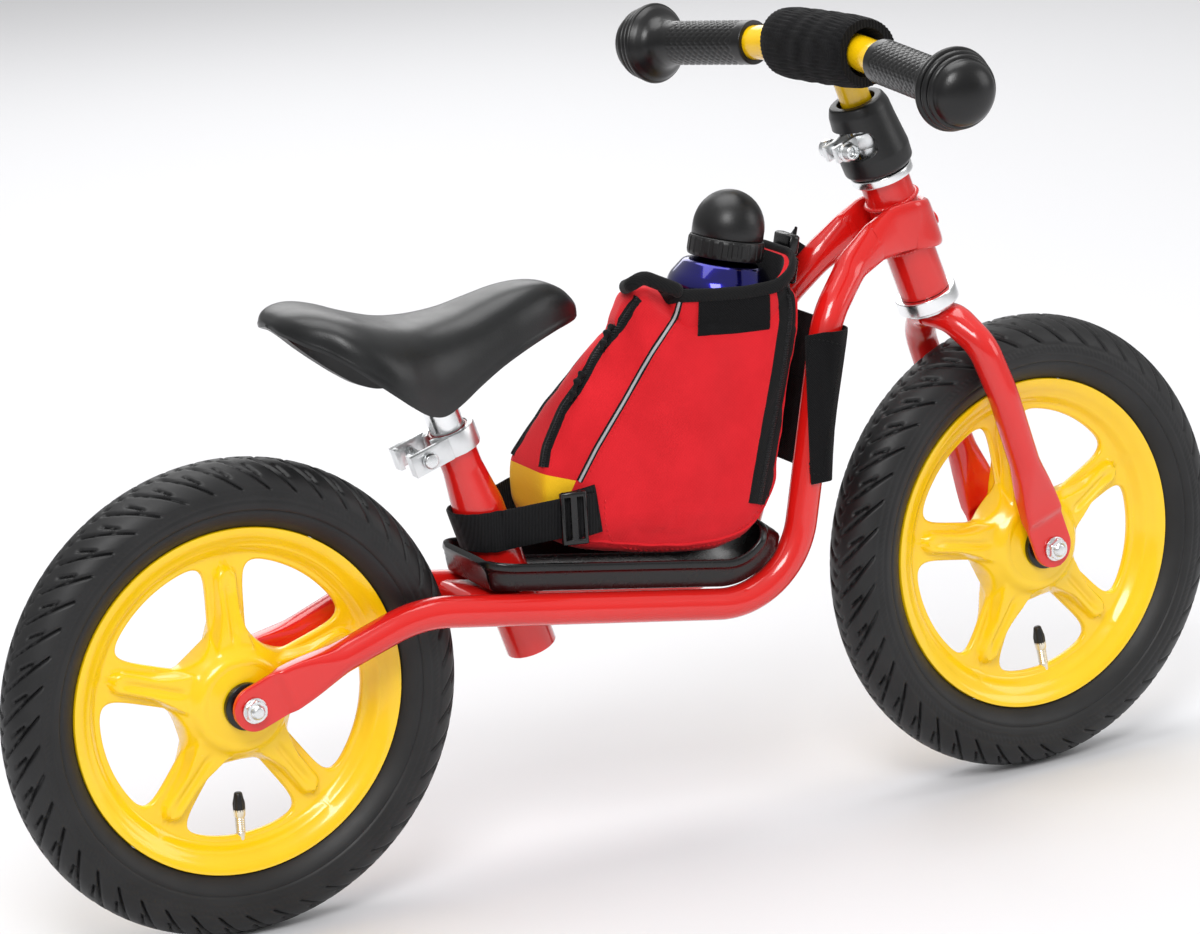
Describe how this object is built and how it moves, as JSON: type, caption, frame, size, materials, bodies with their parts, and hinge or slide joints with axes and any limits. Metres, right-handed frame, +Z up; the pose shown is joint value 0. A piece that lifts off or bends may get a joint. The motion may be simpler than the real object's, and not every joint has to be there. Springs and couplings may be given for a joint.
{
  "type": "balance bike",
  "caption": "Child's balance bike with a step-through twin-tube steel frame, spoked wheels, hollow-tread tyres, padded bar, frame bag and drinking bottle.",
  "frame": {"origin": "on the ground, at the bottom centre of the overall box, midway between the axles on the bike's middle plane", "axes": "+X forwards, +Y to the rider's left, +Z up"},
  "size_m": [0.8597, 0.3661, 0.5154],
  "materials": {
    "frame_red": "glossy red powder coat",
    "rim_yellow": "glossy yellow moulded plastic",
    "bar_yellow": "glossy yellow powder coat",
    "tyre_black": "matte black tread rubber",
    "inner_rubber": "black butyl rubber",
    "steel": "bright zinc or nickel plating",
    "cast_alloy": "satin cast alloy",
    "black_plastic": "satin black plastic",
    "gloss_plastic": "glossy black plastic",
    "grip_rubber": "satin black rubber",
    "saddle_skin": "soft black integral foam skin",
    "pad_fabric": "black ribbed fabric",
    "bag_fabric": "red and yellow woven nylon",
    "webbing": "black ribbed webbing",
    "bottle_blue": "metallic blue lacquer"
  },
  "bodies": {
    "frame": {"frame_tube_left": "frame_red", "frame_tube_right": "frame_red", "head_loop": "frame_red", "head_tube": "frame_red", "headset_lower_cup": "steel", "headset_upper_cup": "steel", "seat_tube": "frame_red", "seat_bridge": "frame_red", "footboard": "gloss_plastic", "seat_clamp": "cast_alloy", "seat_clamp_bolt": "steel", "axle_rear": "steel", "axle_nut_rear_left": "steel", "axle_nut_rear_right": "steel", "bag": "bag_fabric", "seat_strap": "webbing", "strap_slider": "gloss_plastic", "frame_strap": "webbing", "buckle_socket": "gloss_plastic", "buckle_plug": "gloss_plastic", "tube_wrap": "pad_fabric"},
    "steering": {"fork_steerer": "steel", "fork_leg_left": "frame_red", "fork_leg_right": "frame_red", "stem_clamp": "cast_alloy", "stem_clamp_bolt": "steel", "stem_clamp_nut": "steel", "stem_cover": "black_plastic", "headset_lower_bearing": "steel", "headset_upper_bearing": "steel", "axle_front": "steel", "axle_nut_front_left": "steel", "axle_nut_front_right": "steel"},
    "handlebar": {"stem_tube": "bar_yellow", "handlebar_tube": "bar_yellow", "bar_pad": "pad_fabric", "grip_left": "grip_rubber", "grip_right": "grip_rubber"},
    "front_wheel": {"wheel_front": "rim_yellow", "tyre_front": "tyre_black", "inner_tube_front": "inner_rubber", "valve_cap_front": "black_plastic", "bearing_front_left": "steel", "bearing_front_right": "steel", "hub_cap_front_left": "black_plastic", "hub_cap_front_right": "black_plastic"},
    "rear_wheel": {"wheel_rear": "rim_yellow", "tyre_rear": "tyre_black", "inner_tube_rear": "inner_rubber", "valve_cap_rear": "black_plastic", "bearing_rear_left": "steel", "bearing_rear_right": "steel", "hub_cap_rear_left": "black_plastic", "hub_cap_rear_right": "black_plastic"},
    "seat": {"saddle": "saddle_skin", "saddle_base": "black_plastic", "seat_post": "steel"},
    "bottle": {"bottle": "bottle_blue", "bottle_collar": "black_plastic"},
    "bottle_cap": {"bottle_cap": "black_plastic"}
  },
  "joints": [
    {"name": "steering", "type": "hinge", "parent": "frame", "child": "steering", "pos_m": [0.2178, 0, 0.3203], "axis": [-0.3256, 0, 0.9455], "range_deg": [-50, 38]},
    {"name": "front_wheel_spin", "type": "hinge", "parent": "steering", "child": "front_wheel", "pos_m": [0.28229, 0.00051, 0.14829], "axis": [-0.0964, 0.9948, -0.0332], "continuous": true},
    {"name": "rear_wheel_spin", "type": "hinge", "parent": "frame", "child": "rear_wheel", "pos_m": [-0.2815, 0, 0.1483], "axis": [0, 1, 0], "continuous": true},
    {"name": "handlebar_height", "type": "slide", "parent": "steering", "child": "handlebar", "axis": [-0.3256, 0, 0.9455], "range_m": [-0.014, 0.045]},
    {"name": "seat_height", "type": "slide", "parent": "frame", "child": "seat", "axis": [-0.3123, 0, 0.95], "range_m": [-0.01, 0.055]},
    {"name": "bottle_lift", "type": "slide", "parent": "frame", "child": "bottle", "axis": [0.2096, 0, 0.9778], "range_m": [0, 0.06]},
    {"name": "bottle_cap_pull", "type": "slide", "parent": "bottle", "child": "bottle_cap", "axis": [0.2096, 0, 0.9778], "range_m": [0, 0.02]}
  ]
}
